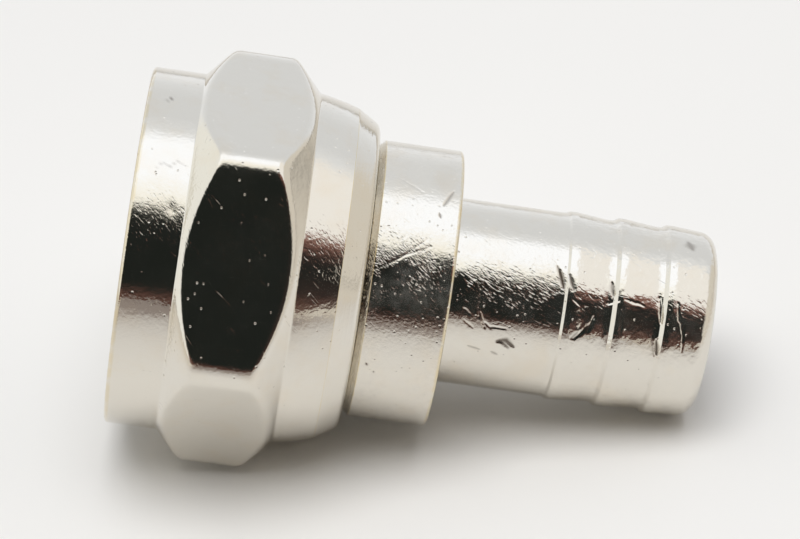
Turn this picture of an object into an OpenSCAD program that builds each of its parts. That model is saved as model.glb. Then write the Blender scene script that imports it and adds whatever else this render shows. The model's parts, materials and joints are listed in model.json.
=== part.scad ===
// F connector for coaxial cable: a plug whose hexagon coupling nut swivels
// on a barbed post. Every piece is turned brass, nickel plated.
//
// Each piece is drawn along +Z, from the mouth of the nut to the tail of the
// post, and the whole is then laid down as it comes to rest on a table: on
// one flat of the nut and on the rounded rim of the tail. X runs from the
// mouth to the tail, Z is up, and the origin is on the table under the middle.
// All sizes are in millimetres.

/* [Coupling nut] */
// Length of the nut, from its mouth to its rear face
nut_len = 6.95; // [6.9:0.05:7.2]
// Width across the flats of the hexagon
across_flats = 11; // [10.9:0.05:11.2]
// Diameter that the six corners are turned down to
corner_d = 12.44; // [12.2:0.02:12.6]
// Distance from the mouth to the front end of a flat, on its middle line
flat_start = 1.7; // [1.4:0.05:2]
// Distance from the mouth to the rear end of a flat, on its middle line
flat_end = 4.85; // [4.6:0.05:5]
// Slope from the axis of the turned chamfers, which cut arcs out of the hexagon
chamfer_slope = 48; // [42:1:55]
// Diameter of the round skirt in front of the hexagon
skirt_d = 10.75; // [10.5:0.05:10.8]
// Diameter of the tapered shoulder where it leaves the hexagon
shoulder_d = 10.6; // [10.4:0.05:10.7]
// Diameter of the shoulder where the rear chamfer starts
shoulder_end_d = 10.02; // [9.9:0.02:10.2]
// Length of the rear chamfer along the axis
rear_chamfer = 0.7; // [0.6:0.05:0.8]
// Slope of the rear chamfer from the axis
rear_slope = 31; // [26:1:34]
// Radius that rounds the rear chamfer into the rear face
rear_round = 0.3; // [0.2:0.05:0.4]

/* [Thread of the nut] */
// Major diameter of the 3/8-32 UNEF thread
thread_major_d = 9.525; // [9.525:0.005:9.56]
// Bore at the crests of the thread, its minor diameter
thread_minor_d = 8.72; // [8.66:0.02:8.86]
// Depth of the countersink at the mouth
mouth_countersink = 0.45; // [0.3:0.05:0.55]
// Distance from the mouth to the end of the thread, where the relief starts
thread_end = 3.75; // [3.4:0.05:3.9]

/* [Swivel] */
// Thickness of the nut's inward lip, which the flange of the post pulls on
lip_t = 1.4; // [1.2:0.05:1.5]
// Diameter of the post's hub, which turns in the lip
hub_d = 6.5; // [6.4:0.05:6.6]
// Radial clearance of the hub in the lip
hub_clearance = 0.08; // [0.04:0.01:0.1]
// Clearance of the nut at the flange, and again at the collar
end_play = 0.08; // [0.05:0.01:0.1]

/* [Barbed post] */
// Diameter of the flange, whose front face meets the jack
flange_d = 8.4; // [8.1:0.1:8.5]
// Thickness of the flange
flange_t = 1.2; // [1:0.05:1.3]
// Diameter of the seat that the collar is pressed on
seat_d = 6.1; // [5.9:0.05:6.3]
// Diameter of the plain tube
tube_d = 5.58; // [5.54:0.02:5.6]
// Bore that takes the inner insulation of the cable
bore_d = 4.9; // [4.7:0.02:4.92]
// Distance from the mouth of the nut to the tail
tail_end = 17.43; // [17.3:0.01:17.6]
// Radius of the rounded rim at the tail
tail_round = 0.5; // [0.45:0.01:0.55]
// Number of barbs
barbs = 3; // [2:1:4]
// Distance from the step of the last barb to the tail
last_barb = 1.54; // [1.4:0.02:1.6]
// Distance from one barb's step to the next
barb_pitch = 1.47; // [1.3:0.01:1.5]
// Diameter at the crest of a barb
crest_d = 5.72; // [5.66:0.02:5.76]
// Diameter at the foot of a barb's taper
foot_d = 5.52; // [5.5:0.02:5.54]
// Diameter where the last barb runs into the rounded rim
tail_d = 5.6; // [5.54:0.02:5.64]

/* [Retaining collar] */
// Outer diameter of the collar
collar_d = 8.36; // [8.2:0.02:8.5]
// Length of the collar
collar_len = 2.5; // [2.4:0.05:2.6]
// Front chamfer of the collar
collar_chamfer = 0.2; // [0.1:0.05:0.3]

/* [Hidden] */
$fn = 96;

// Small edges broken by the turning tool
edge_break = 0.12;
// Steps that draw a rounded edge
round_steps = 6;
// How far a cutting shape reaches past the piece that it cuts
past = 1;
// How far the seat stops inside the collar's rear face
seat_recess = 0.1;

half_flats = across_flats / 2;
skirt_r = skirt_d / 2;
shoulder_r = shoulder_d / 2;
shoulder_end_r = shoulder_end_d / 2;
corner_r = corner_d / 2;
mouth_edge_r = skirt_r - edge_break;

lip_z = nut_len - lip_t;
flange_back = lip_z - end_play;
flange_front = flange_back - flange_t;
relief_d = thread_major_d + 0.1;
lip_bore_d = hub_d + 2 * hub_clearance;

collar_front = nut_len + end_play;
collar_back = collar_front + collar_len;
seat_end = collar_back - seat_recess;
first_barb = tail_end - last_barb - (barbs - 1) * barb_pitch;

// The rim of the tail is an arc that the bore cuts short.
rim_centre_r = tail_d / 2 - tail_round;
rim_sweep = acos((bore_d / 2 - rim_centre_r) / tail_round);
rim_centre_z = tail_end - tail_round * sin(rim_sweep);

// Resting tilt: the rear end of the lower flat and the rim of the tail touch
// the table together, so the table is the line through the end of that flat
// that is tangent to the rim.
rest_drop = half_flats - rim_centre_r;
rest_span = rim_centre_z - flat_end;
rest_tilt = acos(tail_round / norm([rest_drop, rest_span])) - atan2(rest_span, rest_drop);
mouth_height = half_flats * cos(rest_tilt) + flat_end * sin(rest_tilt);
low_x = -mouth_edge_r * sin(rest_tilt);
high_x = tail_end * cos(rest_tilt) + bore_d / 2 * sin(rest_tilt);

// Points of an arc in a turning profile, as [radius, distance along the axis].
// Angle 0 points away from the axis, and angle 90 towards the tail.
function arc(r, z, size, from, to) =
    [for (i = [0:round_steps])
        let (a = from + (to - from) * i / round_steps)
        [r + size * cos(a), z + size * sin(a)]];

// Length along the axis of a hexagon chamfer that climbs between two radii.
function chamfer_run(low_r, high_r) = (high_r - low_r) / tan(chamfer_slope);

// Lays a piece that is drawn along +Z down in its resting place.
module at_rest() {
    translate([-(low_x + high_x) / 2, 0, mouth_height])
        rotate([0, 90 + rest_tilt, 0])
            children();
}

// Hexagonal bar with one flat facing +X, the side that lies down at rest.
module hexagon_bar() {
    rotate([0, 0, 30])
        cylinder(d = across_flats / cos(30), h = nut_len, $fn = 6);
}

// Turned blank of the hexagon: its chamfers run from the skirt up to the
// corners and down again to the shoulder, and leave an arc at each flat.
module chamfered_blank() {
    front = flat_start - chamfer_run(skirt_r, half_flats);
    back = flat_end + chamfer_run(shoulder_r, half_flats);
    rotate_extrude()
        polygon([
            [0, front],
            [skirt_r, front],
            [corner_r, flat_start + chamfer_run(half_flats, corner_r)],
            [corner_r, flat_end - chamfer_run(half_flats, corner_r)],
            [shoulder_r, back],
            [0, back]
        ]);
}

// Round part of the nut: the skirt, the tapered shoulder and the rear chamfer.
module nut_round() {
    chamfer_z = nut_len - rear_chamfer;
    round_z = nut_len - rear_round;
    chamfer_fall = (round_z + rear_round * sin(rear_slope) - chamfer_z) * tan(rear_slope);
    round_r = shoulder_end_r - chamfer_fall - rear_round * cos(rear_slope);
    rotate_extrude()
        polygon([
            [0, 0],
            [mouth_edge_r, 0],
            [skirt_r, edge_break],
            [skirt_r, flat_start],
            [shoulder_r, flat_end],
            [shoulder_end_r, chamfer_z],
            each arc(round_r, round_z, rear_round, rear_slope, 90),
            [0, nut_len]
        ]);
}

// Inside of the nut, from the mouth: countersink, thread bore, relief and lip bore.
module nut_hollow() {
    translate([0, 0, -past])
        cylinder(d = thread_minor_d, h = past + thread_end + edge_break);
    translate([0, 0, -past])
        cylinder(
            d1 = thread_minor_d + 2 * (mouth_countersink + past),
            d2 = thread_minor_d,
            h = mouth_countersink + past
        );
    translate([0, 0, thread_end])
        cylinder(d = relief_d, h = lip_z - thread_end);
    cylinder(d = lip_bore_d, h = nut_len + past);
}

// The nut turns freely on the hub of the post, between the flange and the collar.
module coupling_nut() {
    color("silver")
        at_rest()
            difference() {
                union() {
                    nut_round();
                    intersection() {
                        hexagon_bar();
                        chamfered_blank();
                    }
                }
                nut_hollow();
            }
}

// Profile of the barbs. Each has a square step that faces the nut, so that the
// cable's braid can't slide off, and a long taper that lets the cable slide on.
// The last taper runs into the rim of the tail.
function barb_points() =
    [for (i = [0:barbs - 1])
        let (z = first_barb + i * barb_pitch)
        each [
            [crest_d / 2, z],
            if (i < barbs - 1) [foot_d / 2, z + barb_pitch]
        ]];

// The post is one turned piece: flange, hub, seat, plain tube and barbs.
module barbed_post() {
    color("gainsboro")
        at_rest()
            difference() {
                rotate_extrude()
                    polygon([
                        [0, flange_front],
                        [flange_d / 2 - edge_break, flange_front],
                        [flange_d / 2, flange_front + edge_break],
                        [flange_d / 2, flange_back],
                        [hub_d / 2, flange_back],
                        [hub_d / 2, collar_front],
                        [seat_d / 2, collar_front],
                        [seat_d / 2, seat_end],
                        [tube_d / 2, seat_end],
                        [tube_d / 2, first_barb],
                        each barb_points(),
                        each arc(rim_centre_r, rim_centre_z, tail_round, 0, rim_sweep),
                        [0, tail_end]
                    ]);
                translate([0, 0, flange_front - past])
                    cylinder(d = bore_d, h = tail_end - flange_front + 2 * past);
                translate([0, 0, flange_front - edge_break])
                    cylinder(d1 = bore_d + 4 * edge_break, d2 = bore_d, h = 2 * edge_break);
            }
}

// The collar is pressed on from the tail, and traps the nut against the flange.
module retaining_collar() {
    color("lightgray")
        at_rest()
            translate([0, 0, collar_front])
                difference() {
                    rotate_extrude()
                        polygon([
                            [0, 0],
                            [collar_d / 2 - collar_chamfer, 0],
                            [collar_d / 2, collar_chamfer],
                            [collar_d / 2, collar_len - edge_break],
                            [collar_d / 2 - edge_break, collar_len],
                            [0, collar_len]
                        ]);
                    translate([0, 0, -past])
                        cylinder(d = seat_d, h = collar_len + 2 * past);
                }
}

coupling_nut();
barbed_post();
retaining_collar();
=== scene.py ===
"""F connector: the finished look of a crimp plug for coaxial cable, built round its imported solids.

A coupling nut with a cut thread turns on a barbed post, and a pressed-on collar holds it there.
Every surface is a grid worked out with numpy: rows follow a turning profile, and columns run round
the connector's axis. The formulas work in millimetres; the meshes hold metres.
"""

import json
import math

import bpy
import numpy as np
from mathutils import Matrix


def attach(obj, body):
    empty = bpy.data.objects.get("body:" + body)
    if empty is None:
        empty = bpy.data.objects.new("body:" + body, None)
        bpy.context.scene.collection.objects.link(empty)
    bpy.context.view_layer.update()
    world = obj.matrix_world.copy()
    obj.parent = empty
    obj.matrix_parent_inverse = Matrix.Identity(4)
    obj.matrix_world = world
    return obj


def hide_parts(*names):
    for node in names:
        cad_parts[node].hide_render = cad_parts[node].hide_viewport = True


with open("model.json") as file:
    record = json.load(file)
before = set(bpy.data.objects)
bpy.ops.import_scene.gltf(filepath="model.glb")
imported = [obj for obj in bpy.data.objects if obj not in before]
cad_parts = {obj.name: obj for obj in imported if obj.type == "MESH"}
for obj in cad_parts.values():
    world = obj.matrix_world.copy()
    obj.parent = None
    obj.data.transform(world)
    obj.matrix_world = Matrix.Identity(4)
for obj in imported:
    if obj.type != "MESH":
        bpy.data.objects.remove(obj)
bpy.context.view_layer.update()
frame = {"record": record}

bl_info = {
    "name": "F connector",
    "version": (1, 0, 0),
    "blender": (4, 5, 0),
    "location": "View3D > Sidebar > F connector",
    "description": "Builds a nickel-plated F connector with its swivelling nut, barbed post and collar",
    "category": "Add Mesh",
}

MM = 0.001


# Place of the connector: the record's thread mount gives its axis and its mouth.


def unit(vector):
    """The vector over its own length."""
    vector = np.asarray(vector, float)
    return vector / np.linalg.norm(vector)


THREAD_MIDDLE = 2.1
thread_mount = next(m for m in frame["record"]["mounts"] if m["name"] == "nut_thread")
AXIS = -unit(thread_mount["axis"])
FRONT = np.array([0.0, -1.0, 0.0])
UP = unit(np.cross(FRONT, AXIS))
MOUTH = np.array(thread_mount["pos_m"]) - THREAD_MIDDLE * MM * AXIS
TILT = math.atan2(-AXIS[2], AXIS[0])


# Sizes and finishes that a user would change.


def size(name, millimetres, description):
    """A length property whose default is given in millimetres."""
    return bpy.props.FloatProperty(
        name=name, description=description, default=millimetres * MM,
        min=0.0, precision=5, subtype="DISTANCE", unit="LENGTH",
    )


def colour(name, red, green, blue, description):
    """A colour property with linear values, which may pass 1 where it is a light."""
    return bpy.props.FloatVectorProperty(
        name=name, description=description, default=(red, green, blue), size=3,
        min=0.0, soft_max=1.0, subtype="COLOR",
    )


def factor(name, value, description):
    """A property between 0 and 1."""
    return bpy.props.FloatProperty(
        name=name, description=description, default=value, min=0.0, max=1.0, subtype="FACTOR",
    )


class NutSizes(bpy.types.PropertyGroup):
    """Sizes of the coupling nut. Places along it are measured from its mouth."""

    long: size("Length", 6.95, "From the mouth to the rear face")
    flats: size("Across flats", 11.0, "Width across the flats of the hexagon")
    corner_d: size("Corner diameter", 12.44, "Diameter that the corners are turned down to")
    flat_start: size("Flat start", 1.7, "Where a flat starts on its middle line")
    flat_end: size("Flat end", 4.85, "Where a flat ends on its middle line")
    skirt_d: size("Skirt diameter", 10.75, "Diameter in front of the hexagon")
    shoulder_d: size("Shoulder diameter", 10.6, "Diameter just behind the hexagon")
    shoulder_end_d: size("Shoulder end diameter", 10.02, "Diameter where the rear chamfer starts")
    rear_chamfer: size("Rear chamfer", 0.7, "Length of the rear chamfer")
    rear_round: size("Rear rounding", 0.3, "Rounding between the rear chamfer and the rear face")
    mouth_round: size("Mouth rounding", 0.13, "Rounding of the skirt's edge at the mouth")
    lip: size("Lip", 1.4, "Thickness of the inward lip")
    lip_bore_d: size("Lip bore", 6.66, "Bore of the lip round the post")
    edge_wear: size("Edge wear", 0.18, "Width over which the edges of the hexagon are worn round")
    major_d: size("Thread major diameter", 9.525, "Diameter at the roots of the 3/8-32 thread")
    minor_d: size("Thread minor diameter", 8.72, "Diameter at the crests of the thread")
    pitch: size("Thread pitch", 0.79375, "From one turn of the thread to the next")
    thread_end: size("Thread end", 3.75, "Where the thread meets its relief")
    countersink: size("Countersink", 0.45, "Depth of the countersink at the mouth")


class PostSizes(bpy.types.PropertyGroup):
    """Sizes of the barbed post. Places along it are measured from the nut's mouth."""

    flange_d: size("Flange diameter", 8.4, "Diameter of the flange that meets the jack")
    flange_start: size("Flange start", 4.27, "Where the flange's face lies")
    flange_end: size("Flange end", 5.47, "Where the flange's back lies")
    hub_d: size("Hub diameter", 6.5, "Diameter that the nut turns on")
    hub_end: size("Hub end", 7.03, "Where the collar's seat starts")
    seat_d: size("Seat diameter", 6.1, "Diameter under the collar")
    seat_end: size("Seat end", 9.43, "Where the seat steps down to the tube")
    tube_d: size("Tube diameter", 5.58, "Diameter of the plain tube")
    bore_d: size("Bore", 4.9, "Bore for the cable's inner insulation")
    tail: size("Tail", 17.43, "Where the tail ends")
    tail_round: size("Tail rounding", 0.5, "Rounding of the rim at the tail")
    last_barb: size("Last barb", 1.54, "From the last barb's step to the tail")
    barb_pitch: size("Barb pitch", 1.47, "From one barb to the next")
    crest_d: size("Barb crest", 5.72, "Diameter at a barb's crest")
    foot_d: size("Barb foot", 5.52, "Diameter at the foot of a barb's taper")
    rim_d: size("Rim diameter", 5.6, "Diameter where the last barb meets the rim")


class CollarSizes(bpy.types.PropertyGroup):
    """Sizes of the retaining collar."""

    outer_d: size("Diameter", 8.36, "Outer diameter of the collar")
    long: size("Length", 2.5, "Length of the collar")
    ahead: size("Ahead of the seat", 0.05, "How far the front stands before the post's seat")
    chamfer: size("Front chamfer", 0.2, "Chamfer on the side of the nut")
    rear_round: size("Rear rounding", 0.1, "Rounding of the rear edge")


class NickelLook(bpy.types.PropertyGroup):
    """Finish of the plated surfaces."""

    plating: colour("Plating", 0.75, 0.715, 0.645, "Colour of clean nickel plate")
    warm: colour("Thin plating", 0.74, 0.67, 0.56, "Colour where the plate is thin over the brass")
    brass: colour("Brass", 0.72, 0.60, 0.36, "Colour of the bare edges")
    grime: colour("Grime", 0.10, 0.075, 0.055, "Colour of the dirt in the marks")
    roughness: factor("Roughness", 0.07, "Roughness of the smoothest places")


class StudioLight(bpy.types.PropertyGroup):
    """Light and colours of the studio."""

    softbox: colour("Softbox", 1.30, 1.36, 1.48, "Light of the softbox overhead")
    softbox_edge: colour("Softbox, front edge", 1.20, 1.19, 1.12, "Its warmer light at the front edge")
    softbox_tail: colour("Softbox, tail end", 1.10, 1.09, 1.08, "Its light past the tail")
    wall: colour("Wall", 0.84, 0.87, 0.92, "Light from the wall behind")
    mouth_side: colour("Mouth side", 1.04, 1.05, 1.02, "Light from the side of the mouth")
    tail_side: colour("Tail side", 0.80, 0.76, 0.69, "Light from the side of the tail")
    gap: colour("Gap", 0.016, 0.019, 0.017, "The unlit room under the front edge of the softbox")
    gap_tail: colour("Gap, tail end", 0.040, 0.029, 0.026, "The unlit room past the tail")
    glow: colour("Glow", 0.20, 0.105, 0.085, "Reddish light round the edges of the unlit room")
    # The next two colours are painted reflected shade: the floor shows them only in the metal's
    # reflections, dark in front for the unlit room and a dimmer warm grey to the sides.
    front_floor_reflected_shade: colour("Front of the floor", 0.16, 0.11, 0.09, "Floor far in front, as metal sees it")
    side_floor_reflected_shade: colour("Sides of the floor", 0.78, 0.73, 0.65, "Floor far to the sides, likewise")
    floor: colour("Floor", 0.90, 0.885, 0.86, "Colour of the floor")
    fill: factor("Fill", 0.55, "Share of the studio's light that matt things such as the floor get")
    key: bpy.props.FloatProperty(
        name="Key", description="Power of the lamp overhead, which metal doesn't show",
        default=0.83, min=0.0, unit="POWER",
    )


def in_mm(group, names):
    """The named sizes of a property group in millimetres, in the order asked for."""
    return [getattr(group, name) / MM for name in names.split()]


# Surfaces.


def fillet(before, corner, after, radius, steps):
    """Points on the arc of that radius that touches both sides of a corner.

    The centre lies on the corner's bisector, at the radius over the sine of half the angle.
    """
    back, ahead = unit(before - corner), unit(after - corner)
    half = 0.5 * math.acos(np.clip(back @ ahead, -1.0, 1.0))
    centre = corner + unit(back + ahead) * radius / math.sin(half)
    start = corner + back * radius / math.tan(half) - centre
    end = corner + ahead * radius / math.tan(half) - centre
    sweep = math.pi - 2.0 * half
    t = np.linspace(0.0, 1.0, steps + 1)[:, None]
    return centre + (np.sin((1.0 - t) * sweep) * start + np.sin(t * sweep) * end) / math.sin(sweep)


def turned_profile(corners, spacing, steps=6, guard=0.015):
    """Rows of a turning profile, from corners given as (radius, place along the axis, rounding).

    A rounded corner becomes an arc. Each straight stretch is divided evenly, no coarser than
    spacing, between two guard rows that keep the shading of an arc out of it.
    """
    corners = np.array(corners, float)
    points, rounding = corners[:, :2], corners[:, 2]
    bends = [points[:1]] + [
        fillet(points[i - 1], points[i], points[i + 1], rounding[i], steps)
        if rounding[i] > 0 else points[i:i + 1]
        for i in range(1, len(points) - 1)
    ] + [points[-1:]]
    rows = [bends[0]]
    for bend, following in zip(bends, bends[1:]):
        start, stretch = bend[-1], following[0] - bend[-1]
        gap = np.linalg.norm(stretch)
        near = min(guard / gap, 0.25)
        t = np.linspace(near, 1.0 - near, max(2, 1 + math.ceil(gap / spacing)))[:, None]
        rows += [start + stretch * t, following]
    return np.concatenate(rows)


def place(radius, angle, along):
    """World points of cylinder coordinates: the angle is zero at the top and grows to the front."""
    across = np.cos(angle)[..., None] * UP + np.sin(angle)[..., None] * FRONT
    return MOUTH + MM * (radius[..., None] * across + along[..., None] * AXIS)


def bend(radius, along):
    """How sharply the surface turns over along its rows, from 0 where flat to 1 at an edge.

    It is the cross product of the steps into and out of a row, over both lengths and their mean.
    """
    step_r, step_z = np.roll(radius, -1, 0) - radius, np.roll(along, -1, 0) - along
    last_r, last_z = np.roll(step_r, 1, 0), np.roll(step_z, 1, 0)
    here, last = np.hypot(step_r, step_z) + 1e-6, np.hypot(last_r, last_z) + 1e-6
    curvature = 2.0 * (last_r * step_z - last_z * step_r) / (here * last * (here + last))
    return np.clip((curvature - 3.0) / 8.0, 0.0, 1.0)


def ring_mesh(name, radius, angle, along, worn, stain):
    """A mesh of a grid of radii and places that closes on itself both ways.

    The attributes "worn" and "stain" hold where the plate has gone and where dirt sits.
    """
    rows, columns = radius.shape
    row, column = np.meshgrid(np.arange(rows), np.arange(columns), indexing="ij")
    next_row, next_column = (row + 1) % rows, (column + 1) % columns
    quads = np.stack([
        row * columns + column, row * columns + next_column,
        next_row * columns + next_column, next_row * columns + column,
    ], axis=-1)
    mesh = bpy.data.meshes.new(name)
    mesh.vertices.add(rows * columns)
    mesh.vertices.foreach_set("co", place(radius, angle, along).ravel())
    mesh.loops.add(quads.size)
    mesh.loops.foreach_set("vertex_index", quads.ravel())
    mesh.polygons.add(rows * columns)
    mesh.polygons.foreach_set("loop_start", np.arange(0, quads.size, 4))
    mesh.polygons.foreach_set("use_smooth", np.ones(rows * columns, bool))
    mesh.update(calc_edges=True)

    for name, values in (("worn", worn), ("stain", stain)):
        layer = mesh.attributes.new(name, "FLOAT", "POINT")
        layer.data.foreach_set("value", np.broadcast_to(values, radius.shape).ravel())
    mesh.validate()
    return mesh


def press(radius, angle, along, marks):
    """The radii less the depth of every mark, and the stain that the marks leave.

    A mark is (line, half width, depth, stain), in millimetres. Its line runs through places given
    as (along the axis, degrees from the top to the front), and its width swells from the start
    of the line to the middle and back as a sine. Its depth falls off as the exponential of minus
    the square of the distance over the half width.
    """
    stain = 0.0 * radius
    depth = 0.0 * radius
    for line, half_width, deep, dirt in marks:
        points = [(z, math.radians(turn)) for z, turn in line]
        far = np.full(radius.shape, 1e9)
        stretches = len(points) - 1
        for number, ((z0, turn0), (z1, turn1)) in enumerate(zip(points, points[1:])):
            sideways = (np.mod(angle - turn0 + math.pi, 2.0 * math.pi) - math.pi) * radius
            run = np.array([z1 - z0, (turn1 - turn0) * radius.max()])
            t = np.clip(((along - z0) * run[0] + sideways * run[1]) / (run @ run), 0.0, 1.0)
            swell = 0.45 + 0.55 * np.sin(math.pi * (number + t) / stretches)
            distance = np.hypot(along - z0 - t * run[0], sideways - t * run[1])
            far = np.minimum(far, distance / swell)
        bell = np.exp(-(far / half_width) ** 2)
        depth += deep * bell
        stain = np.maximum(stain, dirt * bell)
    return radius - depth, stain


def add_piece(name, mesh, material, body, node):
    """Puts a mesh in the scene on its body, in its material, standing for its solid."""
    mesh.materials.append(material)
    piece = bpy.data.objects.new(name, mesh)
    bpy.context.scene.collection.objects.link(piece)
    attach(piece, body)
    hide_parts(node)
    return piece


def soft_min(a, b, soft):
    """The smaller of a and b, less a parabola of height soft / 4 where they cross."""
    near = np.maximum(soft - np.abs(a - b), 0.0) / soft
    return np.minimum(a, b) - near * near * soft / 4.0


def soft_max(a, b, soft):
    """The larger of a and b, plus a parabola of height soft / 4 where they cross."""
    return -soft_min(-a, -b, soft)


def sector_angles(sides, coarse, fine, edge):
    """Angles round the axis, wide apart within edge of a flat's middle line and close elsewhere."""
    flat = np.linspace(-edge, edge, coarse, endpoint=False)
    corner = np.linspace(edge, 2.0 * math.pi / sides - edge, fine, endpoint=False)
    sector = np.concatenate([flat, corner])
    return (sector + 2.0 * math.pi / sides * np.arange(sides)[:, None]).ravel()


def zone(start, end, inner, reach=0.16):
    """Rows from one edge up to the next, packed near both. The edges may differ by column."""
    gap = end - start
    reach = np.minimum(reach, gap / 3.0)
    near = np.array([0.12, 0.35, 0.65])[:, None] * reach
    t = np.linspace(0.0, 1.0, inner)[:, None]
    middle = start + reach + (gap - 2.0 * reach) * t
    return np.concatenate([start[None, :], start + near, middle, end - near[::-1]])


# Marks of use, each as its line, half width, depth and stain. A negative depth is a raised burr.

MARKED_SIDE = (-12.0, 104.0)
SKIRT_MARKS = [
    ([(0.50, 4), (0.65, 4), (0.80, 2)], 0.03, 0.012, 0.7),
    ([(0.62, 32), (0.77, 30), (0.99, 31), (1.19, 29), (1.45, 30)], 0.03, 0.006, 0.25),
    ([(0.85, 54), (1.10, 53)], 0.06, 0.022, 0.0),
    ([(0.50, 64), (0.60, 65)], 0.06, 0.024, 0.0),
    ([(1.00, 65), (1.21, 61), (1.32, 60)], 0.05, 0.020, 0.0),
    ([(1.18, 43), (1.24, 46)], 0.08, 0.026, 0.0),
]
TUBE_MARKS = [
    ([(10.45, 53), (10.46, 62), (10.52, 68), (10.72, 74), (10.90, 76), (11.34, 76)], 0.03, 0.018, 0),
    ([(11.14, 85), (11.42, 84), (11.66, 86)], 0.08, 0.030, 0.9),
    ([(11.20, 84), (11.52, 87)], 0.05, 0.020, 0.8),
    ([(10.33, 91), (10.70, 92)], 0.03, 0.010, 0.5),
    ([(11.04, 93), (11.23, 94)], 0.04, 0.015, 0.5),
    ([(10.03, 67), (10.22, 69)], 0.05, 0.018, 0.0),
    ([(10.07, 74), (10.40, 77)], 0.03, 0.012, 0.0),
    ([(12.70, 36), (12.86, 43)], 0.07, 0.030, 1.0),
    ([(12.60, 33), (12.78, 38)], 0.04, 0.020, 0.8),
    ([(12.98, 38), (13.16, 44)], 0.06, 0.026, 0.9),
    ([(13.20, 53), (13.58, 56), (13.86, 61)], 0.04, 0.016, 0.0),
    ([(13.86, 61), (13.72, 67), (13.36, 73)], 0.06, 0.026, 0.0),
    ([(13.42, 60), (13.66, 61), (13.50, 66)], 0.22, 0.030, 0.0),
    ([(13.28, 76), (13.44, 73)], 0.04, 0.012, 0.6),
    ([(14.20, 52), (14.54, 50)], 0.045, 0.022, 0.0),
    ([(14.26, 39), (14.34, 44)], 0.07, 0.022, 0.6),
    ([(14.70, 48), (15.05, 49), (15.30, 50)], 0.035, 0.012, 0.0),
    ([(14.66, 58), (14.70, 66)], 0.03, 0.012, 0.1),
    ([(15.60, 68), (15.80, 76)], 0.035, 0.014, 0.3),
    ([(15.78, 70), (15.88, 76)], 0.05, 0.024, 0.9),
    ([(16.26, 46), (16.34, 53), (16.50, 60), (16.58, 70)], 0.035, 0.020, 0.0),
    ([(16.49, 0), (16.60, 4)], 0.15, 0.002, 0.5),
    ([(15.72, 44), (15.84, 54)], 0.07, 0.034, 0.0),
]
COLLAR_MARKS = [
    ([(8.98, 22), (9.24, 14)], 0.045, 0.018, 0.5),
    ([(9.10, 54), (9.20, 58), (9.40, 57)], 0.035, 0.018, 0.0),
    ([(6.97, 55), (7.49, 51), (8.03, 46), (8.77, 41)], 0.035, 0.010, 0.0),
    ([(7.76, 49), (8.15, 44), (8.63, 38)], 0.035, 0.008, 0.0),
    ([(7.63, 11), (8.37, 17)], 0.035, 0.008, 0.1),
    ([(7.47, 7), (7.66, 3), (7.84, 6)], 0.035, 0.009, 0.0),
    ([(7.96, 6), (8.19, 2), (8.38, 6)], 0.035, 0.009, 0.0),
    ([(8.88, 26), (8.93, 28)], 0.04, 0.012, 0.7),
    ([(7.38, 93), (7.42, 94)], 0.045, 0.015, 0.9),
    ([(7.62, 97), (7.66, 97)], 0.035, 0.015, 0.8),
]

CONE_SLOPE = math.tan(math.radians(48.0))
REAR_SLOPE, REAR_FACING = math.tan(math.radians(31.0)), math.sin(math.radians(31.0))
STEP_SLOPE = math.tan(math.radians(33.0))
TWIST = -0.16


def shoulder_radius(nut, along):
    """The shoulder's radius, which falls away as the power 1.5 of the distance behind the flats."""
    long, rear_chamfer, flat_end = in_mm(nut, "long rear_chamfer flat_end")
    shoulder_d, shoulder_end_d = in_mm(nut, "shoulder_d shoulder_end_d")
    share = np.maximum(along - flat_end, 0.0) / (long - rear_chamfer - flat_end)
    return (shoulder_d + (shoulder_end_d - shoulder_d) * share ** 1.5) / 2


def hexagon_rows(nut, angle):
    """Radius and place of the rows over the hexagon and the start of the shoulder.

    The radius is the larger of the turned body and the hexagon, which is the smallest of a prism,
    half the flats over the cosine of the angle from a flat's middle line, of the corners'
    cylinder, and of a cone at each end. Rows follow the arcs where the cones cut the flats, at
    the flat's end plus the prism's rise over the cone's slope.
    """
    flats, corner_d, start, end = in_mm(nut, "flats corner_d flat_start flat_end")
    skirt_d, shoulder_d, wear = in_mm(nut, "skirt_d shoulder_d edge_wear")
    from_flat = np.mod(angle + math.pi / 6, math.pi / 3) - math.pi / 6
    prism = soft_min(flats / 2 / np.cos(from_flat), corner_d / 2 + 0.0 * angle, wear)
    arc = (prism - flats / 2) / CONE_SLOPE
    level = 0.0 * angle
    front_foot = start - (flats - skirt_d) / 2 / CONE_SLOPE + level
    rear_foot = end + (flats - shoulder_d) / 2 / CONE_SLOPE + level
    before, after = front_foot - 0.2, rear_foot + 0.25
    along = np.concatenate([
        zone(before, front_foot, 2), zone(front_foot, start + arc, 6),
        zone(start + arc, end - arc, 12), zone(end - arc, rear_foot, 6),
        zone(rear_foot, after, 2), after[None, :],
    ])
    turned = np.where(along < (start + end) / 2, skirt_d / 2, shoulder_radius(nut, along))
    cones = flats / 2 + CONE_SLOPE * np.minimum(along - start, end - along)
    return soft_max(turned, soft_min(prism, cones, wear), 0.03), along


def thread_rows(nut, angle):
    """Radius and place of the rows over the thread, from its inner end out to the mouth.

    The groove is deepest where the place over the pitch, less the turns round the axis, is a
    half, and its sides slope evenly out to the crest. The countersink is a cone that it runs
    into, and the radius is the larger of the two.
    """
    major_d, minor_d, pitch = in_mm(nut, "major_d minor_d pitch")
    end, sink = in_mm(nut, "thread_end countersink")
    along = np.linspace(end, 0.03, 68)[:, None] + 0.0 * angle
    from_root = np.abs(np.mod(along / pitch - angle / (2.0 * math.pi), 1.0) - 0.5) * pitch
    groove = np.clip((3.0 / 8.0 * pitch - from_root) / (5.0 / 16.0 * pitch), 0.0, 1.0)
    cut = minor_d / 2 + (major_d - minor_d) / 2 * groove
    return soft_max(cut, minor_d / 2 + sink - along, 0.05), along


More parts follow.
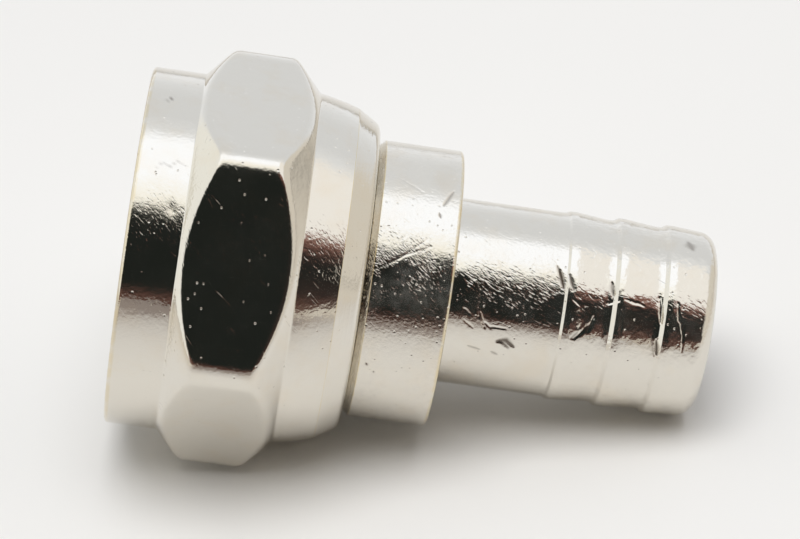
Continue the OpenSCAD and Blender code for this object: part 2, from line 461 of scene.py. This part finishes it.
def nut_grid(nut):
    """Angles, radii and places of the whole nut: mouth, hexagon, rear, lip, relief and thread."""
    angle = sector_angles(6, 34, 26, math.radians(24.5))
    long, rear_chamfer, lip, lip_bore_d = in_mm(nut, "long rear_chamfer lip lip_bore_d")
    skirt_d, shoulder_end_d, minor_d = in_mm(nut, "skirt_d shoulder_end_d minor_d")
    major_d, sink, thread_end = in_mm(nut, "major_d countersink thread_end")
    rear_round, mouth_round = in_mm(nut, "rear_round mouth_round")
    hex_r, hex_z = hexagon_rows(nut, angle)
    cut_r, cut_z = thread_rows(nut, angle)
    front = turned_profile([
        (minor_d / 2 + sink + 0.02, 0.0, 0), (skirt_d / 2, 0.0, mouth_round),
        (skirt_d / 2, hex_z[0, 0], 0),
    ], 0.1)[:-1]
    shoulder_z = np.linspace(hex_z[-1, 0], long - rear_chamfer - 0.12, 14)[1:]
    shoulder = np.stack([shoulder_radius(nut, shoulder_z), shoulder_z], 1)
    rear = turned_profile([
        (*shoulder[-1], 0), (shoulder_end_d / 2, long - rear_chamfer, 0.1),
        (shoulder_end_d / 2 - REAR_SLOPE * rear_chamfer, long, rear_round),
        (lip_bore_d / 2, long, 0.1), (lip_bore_d / 2, long - lip, 0.05),
        (major_d / 2 + 0.05, long - lip, 0.1), (major_d / 2 + 0.05, thread_end, 0.03),
        (major_d / 2, thread_end, 0),
    ], 0.2)[1:-1]
    rear = np.concatenate([shoulder, rear])
    radius = np.concatenate([front[:, :1] + 0.0 * angle, hex_r, rear[:, :1] + 0.0 * angle, cut_r])
    along = np.concatenate([front[:, 1:] + 0.0 * angle, hex_z, rear[:, 1:] + 0.0 * angle, cut_z])
    worn = bend(radius, along)
    radius, stain = press(radius, angle, along, SKIRT_MARKS)
    return radius, angle, along, worn, stain


def turned_grid(profile, fine, coarse, marks):
    """Angles, radii and places of a turned piece with its marks pressed in.

    The columns lie closer together over the marks, from the top round to below the front.
    """
    first, last = np.radians(MARKED_SIDE)
    angle = np.concatenate([
        np.linspace(first, last, fine, endpoint=False),
        np.linspace(last, first + 2.0 * math.pi, coarse, endpoint=False),
    ])
    radius, along = profile[:, :1] + 0.0 * angle, profile[:, 1:] + 0.0 * angle
    worn = bend(radius, along)
    radius, stain = press(radius, angle, along, marks)
    return radius, angle, along, worn, stain


def post_profile(post):
    """The post's profile: flange, hub, seat, tube, three barbs, rim and bore.

    Each barb is a slow rise, a steep step, a slow rise to the crest and a taper down to the next.
    The rim is an arc round a centre one rounding below the last taper's end, which runs out at
    the bore.
    """
    flange_d, flange_start, flange_end = in_mm(post, "flange_d flange_start flange_end")
    hub_d, hub_end, seat_d, seat_end = in_mm(post, "hub_d hub_end seat_d seat_end")
    tube_d, bore_d, tail, tail_round = in_mm(post, "tube_d bore_d tail tail_round")
    last_barb, barb_pitch, crest_d = in_mm(post, "last_barb barb_pitch crest_d")
    foot_d, rim_d = in_mm(post, "foot_d rim_d")
    sink, swell = 0.24, 0.008
    steps = tail - last_barb - barb_pitch * np.arange(2, -1, -1)
    centre_r = rim_d / 2 - tail_round
    sweep = math.acos((bore_d / 2 - centre_r) / tail_round)
    centre_z = tail - tail_round * math.sin(sweep)
    corners = [
        (bore_d / 2 + sink, flange_start, 0), (flange_d / 2, flange_start, 0.12),
        (flange_d / 2, flange_end, 0.05), (hub_d / 2, flange_end, 0.08),
        (hub_d / 2, hub_end, 0.05), (seat_d / 2, hub_end, 0.03),
        (seat_d / 2, seat_end, 0.04), (tube_d / 2, seat_end, 0.05),
    ]
    for step, foot in zip(steps, (tube_d, foot_d, foot_d)):
        half = ((crest_d - foot) / 2 - 2 * swell) / STEP_SLOPE / 2
        corners += [
            (foot / 2, step - 0.25, 1.2), (foot / 2 + swell, step - half, 0.02),
            (crest_d / 2 - swell, step + half, 0.03), (crest_d / 2, step + 0.25, 1.2),
        ]
    turn = np.linspace(0.0, sweep, 12)
    rim = np.stack([centre_r + tail_round * np.cos(turn), centre_z + tail_round * np.sin(turn)], 1)
    outside = turned_profile(corners[7:] + [(rim_d / 2, centre_z, 0)], 0.030, 4)
    hidden = turned_profile(corners[:8], 0.2, 4)
    inside = turned_profile([(bore_d / 2, tail, 0), (bore_d / 2, flange_start + sink, 0)], 0.4)
    return np.concatenate([hidden[:-1], outside, rim[1:], inside[2:]])


def collar_profile(collar, post):
    """The collar's profile: a chamfer at the front, a plain band, and a rounded rear edge."""
    outer_d, long, chamfer, rear_round = in_mm(collar, "outer_d long chamfer rear_round")
    ahead, = in_mm(collar, "ahead")
    bore_d, seat = in_mm(post, "seat_d hub_end")
    start, end = seat - ahead, seat + long
    return turned_profile([
        (bore_d / 2, start, 0), (outer_d / 2 - chamfer, start, 0.04),
        (outer_d / 2, start + chamfer, 0.05), (outer_d / 2, end, rear_round), (bore_d / 2, end, 0),
    ], 0.026, 5)


# Materials.


def add_node(tree, kind, inputs=(), **settings):
    """A node of that kind, with its settings, and its inputs set or linked by name or number."""
    made = tree.nodes.new(kind)
    for key, value in settings.items():
        setattr(made, key, value)
    for key, value in dict(inputs).items():
        if isinstance(value, bpy.types.NodeSocket):
            tree.links.new(value, made.inputs[key])
        else:
            made.inputs[key].default_value = value
    return made


def calc(tree, operation, *values):
    """The output of a Math node."""
    return add_node(tree, "ShaderNodeMath", enumerate(values), operation=operation).outputs[0]


def remap(tree, value, low, high, to_low=0.0, to_high=1.0, smooth=True):
    """The value carried from low..high to to_low..to_high, held at both ends."""
    return add_node(
        tree, "ShaderNodeMapRange", enumerate([value, low, high, to_low, to_high]),
        interpolation_type="SMOOTHSTEP" if smooth else "LINEAR",
    ).outputs[0]


def mix(tree, share, a, b):
    """Colour a turned into colour b by the share."""
    made = add_node(tree, "ShaderNodeMix", {0: share}, data_type="RGBA")
    for socket, value in ((made.inputs[6], a), (made.inputs[7], b)):
        if isinstance(value, bpy.types.NodeSocket):
            tree.links.new(value, socket)
        else:
            socket.default_value = (*value, 1.0)
    return made.outputs[2]


def noise(tree, vector, scale, detail=2.0, roughness=0.5, distortion=0.0):
    """Noise between 0 and 1 over a vector."""
    return add_node(tree, "ShaderNodeTexNoise", {
        "Vector": vector, "Scale": scale, "Detail": detail,
        "Roughness": roughness, "Distortion": distortion,
    }).outputs[0]


def axis_coordinates(tree):
    """Object coordinates in millimetres from the mouth: along the axis, away from the viewer, up."""
    objects = add_node(tree, "ShaderNodeTexCoord").outputs["Object"]
    return add_node(tree, "ShaderNodeMapping", {
        "Vector": objects, "Location": tuple(MOUTH), "Rotation": (0.0, TILT, 0.0),
        "Scale": (MM, MM, MM),
    }, vector_type="TEXTURE").outputs[0]


def nickel(name, look, bare_tone, skin, dents, dent_scale, drawn_out, pits, haze):
    """Bright nickel plate: sharp reflections broken up by the skin of the plate and by marks.

    Heights are in millimetres: a fine orange-peel skin, slow waves, dents drawn out along a helix
    as from rough handling, a fine grain between them, small round pits, hairline scratches, and
    the tool's grooves, which run round the axis on the ends and the rear chamfer. Haze is a thin
    film of dust, thin plate over the brass shows warmer, and worn edges show the bare tone. The
    dents are deep on the side that was handled, and past the barbs they give way to soft swells.
    """
    material = bpy.data.materials.new(name)
    material.use_nodes = True
    tree = material.node_tree
    shader = tree.nodes["Principled BSDF"]
    where = axis_coordinates(tree)
    along, away, above = add_node(tree, "ShaderNodeSeparateXYZ", {0: where}).outputs
    turn = calc(tree, "ARCTAN2", calc(tree, "MULTIPLY", away, -1.0), above)
    barbed = remap(tree, along, 12.6, 13.4)
    handled = calc(tree, "MULTIPLY", remap(tree, turn, 0.55, 0.78, 0.15, 1.0),
                   remap(tree, turn, 1.0, 1.2, 1.0, 0.12))
    dented = calc(tree, "MULTIPLY", remap(tree, noise(tree, where, 1.1, 1.0), 0.32, 0.55), handled)
    dented = calc(tree, "MULTIPLY", dented, calc(tree, "MULTIPLY_ADD", barbed, -0.65, 1.0))
    helix = add_node(tree, "ShaderNodeVectorRotate", {
        "Vector": where, "Angle": calc(tree, "MULTIPLY", along, TWIST)},
        rotation_type="X_AXIS").outputs[0]
    drawn = add_node(tree, "ShaderNodeMapping", {
        "Vector": helix, "Scale": (drawn_out, 1.0, 1.0)}).outputs[0]
    patches = noise(tree, where, 0.9, 3.0, 0.6)
    dent = remap(tree, noise(tree, drawn, dent_scale, 1.5, 0.5), 0.50, 0.80)
    cells = add_node(tree, "ShaderNodeTexVoronoi", {"Vector": where, "Scale": 5.0})
    lot = add_node(tree, "ShaderNodeSeparateColor", {0: cells.outputs["Color"]}).outputs[0]
    pit = calc(tree, "MULTIPLY", remap(tree, cells.outputs["Distance"], 0.05, 0.22, 1.0, 0.0),
               calc(tree, "LESS_THAN", lot, pits))
    facing = calc(tree, "ABSOLUTE", add_node(tree, "ShaderNodeVectorMath", {
        0: add_node(tree, "ShaderNodeNewGeometry").outputs["True Normal"], 1: tuple(AXIS)},
        operation="DOT_PRODUCT").outputs["Value"])
    from_chamfer = calc(tree, "ABSOLUTE", calc(tree, "SUBTRACT", facing, REAR_FACING))
    turned = calc(tree, "MAXIMUM", remap(tree, facing, 0.85, 0.95),
                  remap(tree, from_chamfer, 0.03, 0.08, 1.0, 0.0))
    radius = calc(tree, "SQRT", calc(tree, "MULTIPLY_ADD", away, away,
                                     calc(tree, "MULTIPLY", above, above)))
    tool = add_node(tree, "ShaderNodeTexNoise", {"W": radius, "Scale": 18.0, "Detail": 2.0},
                    noise_dimensions="1D").outputs[0]
    across = add_node(tree, "ShaderNodeMapping", {"Vector": helix, "Scale": (0.35, 1.0, 1.0),
                                                  "Location": (7.0, 3.0, 1.0)}).outputs[0]
    line = calc(tree, "ABSOLUTE", calc(tree, "SUBTRACT", noise(tree, across, 1.3, 2.0), 0.5))
    hairline = calc(tree, "MULTIPLY", remap(tree, line, 0.0, 0.012, 1.0, 0.0),
                    remap(tree, noise(tree, where, 1.7), 0.55, 0.7))
    height = calc(tree, "MULTIPLY", noise(tree, where, 10.0, 1.5), skin)
    for field, amount in (
        (noise(tree, where, 1.9, 1.0), 0.006), (calc(tree, "MULTIPLY", dent, dented), -dents),
        (calc(tree, "MULTIPLY", noise(tree, drawn, 24.0, 1.0), dented), 0.5 * dents),
        (calc(tree, "MULTIPLY", noise(tree, where, 3.6, 1.0), barbed), 0.016),
        (pit, -0.010), (hairline, -0.0025), (calc(tree, "MULTIPLY", tool, turned), 0.003),
    ):
        height = calc(tree, "MULTIPLY_ADD", field, amount, height)
    bump = add_node(tree, "ShaderNodeBump", {"Distance": MM, "Height": height}).outputs[0]
    worn, stain = (add_node(tree, "ShaderNodeAttribute", attribute_name=attribute).outputs["Fac"]
                   for attribute in ("worn", "stain"))
    bare = calc(tree, "MULTIPLY", worn, remap(tree, noise(tree, where, 3.0, 3.0), 0.3, 0.6, 0.2, 0.8))
    tone = mix(tree, remap(tree, patches, 0.45, 0.75, 0.0, 0.5), look.plating, look.warm)
    tone = mix(tree, bare, tone, bare_tone)
    tone = mix(tree, stain, tone, look.grime)
    rough = remap(tree, patches, 0.3, 0.7, look.roughness, look.roughness + 0.05)
    rough = calc(tree, "MULTIPLY_ADD", stain, 0.3, rough)
    dust = calc(tree, "MULTIPLY", remap(tree, noise(tree, where, 0.8, 3.0, 0.6), 0.35, 0.62),
                remap(tree, noise(tree, where, 4.5, 2.0), 0.3, 0.7, 0.3, 1.0))
    film = calc(tree, "MULTIPLY_ADD", dust, -haze, 1.0)
    for socket, value in (("Normal", bump), ("Base Color", tone), ("Roughness", rough),
                          ("Metallic", film)):
        tree.links.new(value, shader.inputs[socket])
    return material


# Studio.


def place_camera():
    """A long lens from the front and above, rolled a little to its left."""
    azimuth, elevation, roll = (math.radians(a) for a in (4.484, 32.622, -4.844))
    aim, distance = np.array([-0.129, -0.323, 5.313]) * MM, 96.858 * MM
    ahead = np.array([
        -math.sin(azimuth) * math.cos(elevation), math.cos(azimuth) * math.cos(elevation),
        -math.sin(elevation),
    ])
    level = unit(np.cross(ahead, (0.0, 0.0, 1.0)))
    upright = np.cross(level, ahead)
    right = math.cos(roll) * level + math.sin(roll) * upright
    above = np.cross(right, ahead)
    data = bpy.data.cameras.new("camera")
    data.lens, data.sensor_width, data.clip_start = 145.613, 36.0, 0.005
    camera = bpy.data.objects.new("camera", data)
    bpy.context.scene.collection.objects.link(camera)
    turn = np.eye(4)
    turn[:3, 0], turn[:3, 1], turn[:3, 2] = right, above, -ahead
    turn[:3, 3] = aim - distance * ahead
    camera.matrix_world = turn.T.tolist()
    bpy.context.scene.camera = camera


SIDE_STARTS, SIDE_IS_FULL = 0.60, 0.76
TAIL_STARTS, TAIL_IS_FULL = 0.09, 0.24


def add_bands(tree, share, stops):
    """A colour ramp over the whole turn, from stops given as (degrees, colour)."""
    node = add_node(tree, "ShaderNodeValToRGB", {0: share})
    ramp = node.color_ramp
    ramp.elements.remove(ramp.elements[1])
    for index, (degrees, tone) in enumerate(stops):
        at = degrees / 360.0 + 0.5
        stop = ramp.elements.new(at) if index else ramp.elements[0]
        stop.position, stop.color = at, (*tone, 1.0)
    return node.outputs[0]


def light_world(light):
    """The studio all round, as bands of light along the connector's axis.

    A direction's turn is the angle, seen along the axis, from the level front up and over. The
    front is unlit up to the softbox, which starts at 60 degrees, and the wall lies beyond it.
    Directions near the axis itself see the two sides instead.
    """
    world = bpy.data.worlds.new("studio")
    bpy.context.scene.world = world
    world.use_nodes = True
    tree = world.node_tree
    direction = add_node(tree, "ShaderNodeTexCoord").outputs["Generated"]
    front, up, along = (
        add_node(tree, "ShaderNodeVectorMath", {0: direction, 1: tuple(axis)},
                 operation="DOT_PRODUCT").outputs["Value"]
        for axis in (FRONT, UP, AXIS)
    )
    turn = calc(tree, "ARCTAN2", up, front)
    share = calc(tree, "MULTIPLY_ADD", turn, 1.0 / (2.0 * math.pi), 0.5)
    wall = np.array(light.wall)
    beyond = [(113, wall * 1.12), (124, wall), (150, wall), (165, wall * 1.08), (180, wall * 1.25)]
    middle = add_bands(tree, share, [
        (-180, wall * 1.25), (-30, wall), (-4, light.glow), (2, np.array(light.glow) * 0.5),
        (8, light.gap), (55, light.gap), (62, light.softbox_edge), (80, light.softbox),
        (105, light.softbox),
    ] + beyond)
    tail = add_bands(tree, share, [
        (-180, wall * 1.25), (-30, wall), (-4, light.glow), (6, np.array(light.glow) * 0.7),
        (16, light.gap_tail), (34, light.gap), (43, light.gap_tail), (50, light.glow),
        (54, np.array(light.glow) * 1.6), (58, light.softbox_tail), (105, light.softbox_tail),
    ] + beyond)
    shown = mix(tree, remap(tree, along, TAIL_STARTS, TAIL_IS_FULL), middle, tail)
    side = mix(tree, remap(tree, along, -0.1, 0.1), light.mouth_side, light.tail_side)
    to_side = remap(tree, calc(tree, "ABSOLUTE", along), SIDE_STARTS, SIDE_IS_FULL)
    background = tree.nodes["Background"]
    tree.links.new(mix(tree, to_side, shown, side), background.inputs["Color"])
    to_floor = add_node(tree, "ShaderNodeLightPath").outputs["Is Diffuse Ray"]
    tree.links.new(remap(tree, to_floor, 0.0, 1.0, 1.0, light.fill), background.inputs["Strength"])


def hang_key(light):
    """A wide soft lamp overhead that deepens the shadow underneath. Metal doesn't show it."""
    data = bpy.data.lights.new("key", "AREA")
    data.shape, data.size, data.energy = "DISK", 0.3, light.key
    lamp = bpy.data.objects.new("key", data)
    lamp.location = (0.0, -0.10, 0.35)
    lamp.rotation_euler = (math.atan2(0.10, 0.35), 0.0, 0.0)
    lamp.visible_glossy = False
    bpy.context.scene.collection.objects.link(lamp)


def add_floor(light):
    """A plain pale floor, far wider than the view. Its far front and far sides carry painted shade that
    only the metal's reflections show: dark in front, a dimmer warm grey to the sides.
    """
    reach, segments = 1.0, 4
    line = np.linspace(-reach, reach, segments + 1)
    x, y = np.meshgrid(line, line)
    corner = np.arange(segments) + (segments + 1) * np.arange(segments)[:, None]
    faces = np.stack([corner, corner + 1, corner + segments + 2, corner + segments + 1], -1)
    mesh = bpy.data.meshes.new("floor")
    mesh.from_pydata(np.stack([x, y, 0.0 * x], -1).reshape(-1, 3).tolist(), [],
                     faces.reshape(-1, 4).tolist())
    material = bpy.data.materials.new("floor")
    material.use_nodes = True
    tree = material.node_tree
    shader = tree.nodes["Principled BSDF"]
    spot = add_node(tree, "ShaderNodeTexCoord").outputs["Object"]
    sideways, forward = add_node(tree, "ShaderNodeSeparateXYZ", {0: spot}).outputs[:2]
    # Painted reflected shade: towards the far front and the far sides the floor's colour is darkened,
    # and only glossy rays see it. The camera and matt things see the plain floor colour.
    to_side = remap(tree, calc(tree, "ABSOLUTE", sideways), 14 * MM, 50 * MM)
    to_front = remap(tree, forward, -8 * MM, -60 * MM, 0.0, 0.8, smooth=False)
    far = mix(tree, to_side, mix(tree, to_front, light.floor, light.front_floor_reflected_shade), light.side_floor_reflected_shade)
    seen_by_metal = add_node(tree, "ShaderNodeLightPath").outputs["Is Glossy Ray"]
    tree.links.new(mix(tree, seen_by_metal, light.floor, far), shader.inputs["Base Color"])
    shader.inputs["Roughness"].default_value = 1.0
    shader.inputs["Specular IOR Level"].default_value = 0.0
    mesh.materials.append(material)
    floor = bpy.data.objects.new("floor", mesh)
    bpy.context.scene.collection.objects.link(floor)


# Operators and panel.


class FCONNECTOR_OT_coupling_nut(bpy.types.Operator):
    """Build the coupling nut with its hexagon, lip and cut thread"""

    bl_idname = "f_connector.coupling_nut"
    bl_label = "Coupling nut"

    def execute(self, context):
        scene = context.scene
        look = scene.nickel_look
        mesh = ring_mesh("hex_nut", *nut_grid(scene.nut_sizes))
        material = nickel("nut_nickel", look, look.brass, 0.0032, 0.004, 11.0, 0.9, 0.20, 0.004)
        add_piece("hex_nut", mesh, material, "nut", "coupling_nut")
        return {"FINISHED"}


class FCONNECTOR_OT_barbed_post(bpy.types.Operator):
    """Build the post with its flange, tube, barbs and bore"""

    bl_idname = "f_connector.barbed_post"
    bl_label = "Barbed post"

    def execute(self, context):
        scene = context.scene
        look = scene.nickel_look
        grid = turned_grid(post_profile(scene.post_sizes), 170, 60, TUBE_MARKS)
        material = nickel("post_nickel", look, look.plating, 0.0050, 0.013, 11.0, 0.45, 0.30, 0.03)
        piece = add_piece("crimp_post", ring_mesh("crimp_post", *grid), material,
                          "post", "barbed_post")
        return {"FINISHED"}


class FCONNECTOR_OT_retaining_collar(bpy.types.Operator):
    """Build the collar that is pressed on behind the nut"""

    bl_idname = "f_connector.retaining_collar"
    bl_label = "Retaining collar"

    def execute(self, context):
        scene = context.scene
        look = scene.nickel_look
        profile = collar_profile(scene.collar_sizes, scene.post_sizes)
        grid = turned_grid(profile, 260, 120, COLLAR_MARKS)
        material = nickel("collar_nickel", look, look.brass, 0.0060, 0.012, 15.0, 0.55, 0.60, 0.08)
        piece = add_piece("press_collar", ring_mesh("press_collar", *grid), material,
                          "post", "retaining_collar")
        return {"FINISHED"}


class FCONNECTOR_OT_stage(bpy.types.Operator):
    """Set up the camera, the floor and the soft studio light"""

    bl_idname = "f_connector.stage"
    bl_label = "Studio"

    def execute(self, context):
        place_camera()
        light_world(context.scene.studio_light)
        hang_key(context.scene.studio_light)
        add_floor(context.scene.studio_light)
        context.scene.view_settings.view_transform = "Standard"
        return {"FINISHED"}


class FCONNECTOR_PT_panel(bpy.types.Panel):
    """Lists the pieces of the connector"""

    bl_idname = "FCONNECTOR_PT_panel"
    bl_label = "F connector"
    bl_space_type = "VIEW_3D"
    bl_region_type = "UI"
    bl_category = "F connector"

    def draw(self, context):
        for operator in OPERATORS:
            self.layout.operator(operator.bl_idname)


GROUPS = {
    "nut_sizes": NutSizes, "post_sizes": PostSizes, "collar_sizes": CollarSizes,
    "nickel_look": NickelLook, "studio_light": StudioLight,
}
OPERATORS = (
    FCONNECTOR_OT_coupling_nut, FCONNECTOR_OT_barbed_post, FCONNECTOR_OT_retaining_collar,
    FCONNECTOR_OT_stage,
)


def register():
    for group in GROUPS.values():
        bpy.utils.register_class(group)
    for name, group in GROUPS.items():
        setattr(bpy.types.Scene, name, bpy.props.PointerProperty(type=group))
    for kind in (*OPERATORS, FCONNECTOR_PT_panel):
        bpy.utils.register_class(kind)


def unregister():
    for kind in (FCONNECTOR_PT_panel, *reversed(OPERATORS)):
        bpy.utils.unregister_class(kind)
    for name in GROUPS:
        delattr(bpy.types.Scene, name)
    for group in reversed(GROUPS.values()):
        bpy.utils.unregister_class(group)


def main():
    """Builds every piece and the stage."""
    register()
    bpy.ops.f_connector.coupling_nut()
    bpy.ops.f_connector.barbed_post()
    bpy.ops.f_connector.retaining_collar()
    bpy.ops.f_connector.stage()


if __name__ == "__main__":
    main()
